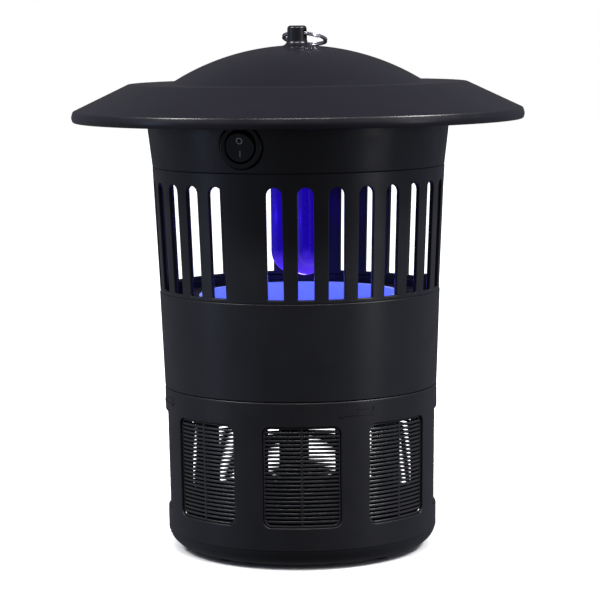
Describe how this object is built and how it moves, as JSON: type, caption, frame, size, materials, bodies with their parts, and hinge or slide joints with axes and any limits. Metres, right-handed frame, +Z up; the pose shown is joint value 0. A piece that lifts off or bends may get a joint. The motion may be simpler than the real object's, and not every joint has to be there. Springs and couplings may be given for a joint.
{
  "type": "electric bug zapper",
  "caption": "Hanging or standing fan-suction insect trap: roofed UV lamp in a slotted cage over a fan duct and a twist-off catch basket with barred windows.",
  "frame": {"origin": "on the surface that the feet stand on, on the axis of the round body", "axes": "+Z up along the body's axis, -Y the front, with the switch left of centre"},
  "size_m": [0.245, 0.245, 0.284],
  "materials": {
    "housing_black": "satin moulded ABS",
    "basket_black": "satin moulded ABS",
    "switch_black": "glossy",
    "ring_steel": "bright nickel plate",
    "screw_steel": "zinc plated",
    "terminal_brass": "tinned",
    "uv_glass": "glowing blue violet",
    "lamp_white": "smooth",
    "coated_white": "white coating, lit light blue by the lamp",
    "board_green": "solder mask",
    "ferrite_grey": "sintered ferrite",
    "coil_copper": "enamelled copper",
    "can_aluminium": "satin",
    "block_grey": "moulded",
    "motor_steel": "plated can",
    "fan_plastic": "glass filled",
    "soft_rubber": "matt",
    "lead_sheath": "PVC sheath"
  },
  "bodies": {
    "head": {"roof_cover": "housing_black", "collar_housing": "housing_black", "cage_base_ring": "housing_black", "cage_bars": "housing_black", "cage_top_ring": "housing_black", "fan_housing": "housing_black", "wire_conduit": "housing_black", "motor_bracket": "housing_black", "switch_body": "switch_black", "roof_screws": "screw_steel", "holder_screws": "screw_steel", "board_screws": "screw_steel", "cage_top_screws": "screw_steel", "cage_base_screws": "screw_steel", "bracket_screws": "screw_steel", "motor_screws": "screw_steel", "switch_terminals": "terminal_brass", "lamp_tubes": "uv_glass", "lamp_base": "lamp_white", "lamp_holder": "lamp_white", "coated_funnel": "coated_white", "control_board": "board_green", "choke_core": "ferrite_grey", "choke_coil": "coil_copper", "board_capacitor": "can_aluminium", "terminal_block": "block_grey", "fan_transformer": "block_grey", "fan_motor": "motor_steel", "cord_gland": "soft_rubber", "fan_lead": "lead_sheath", "switch_lead": "lead_sheath", "lamp_lead": "lead_sheath"},
    "fan": {"fan_impeller": "fan_plastic", "motor_shaft": "screw_steel", "hub_cap": "fan_plastic"},
    "rocker": {"switch_rocker": "switch_black"},
    "ring": {"hanging_ring": "ring_steel"},
    "basket": {"basket_shell": "basket_black", "basket_liner": "basket_black", "basket_base": "basket_black", "basket_feet": "soft_rubber"}
  },
  "joints": [
    {"name": "fan_spin", "type": "hinge", "parent": "head", "child": "fan", "pos_m": [0, 0, 0.11], "axis": [0, 0, 1], "continuous": true},
    {"name": "rocker_tilt", "type": "hinge", "parent": "head", "child": "rocker", "pos_m": [-0.02895, -0.0735, 0.223], "axis": [0.9304, -0.3665, 0], "range_deg": [-18, 0]},
    {"name": "ring_swing", "type": "hinge", "parent": "head", "child": "ring", "pos_m": [0, 0, 0.2798], "axis": [0.9304, -0.3665, 0], "range_deg": [0, 212]},
    {"name": "basket_twist", "type": "hinge", "parent": "head", "child": "basket", "pos_m": [0, 0, 0.0897], "axis": [0, 0, 1], "range_deg": [0, 20]}
  ]
}
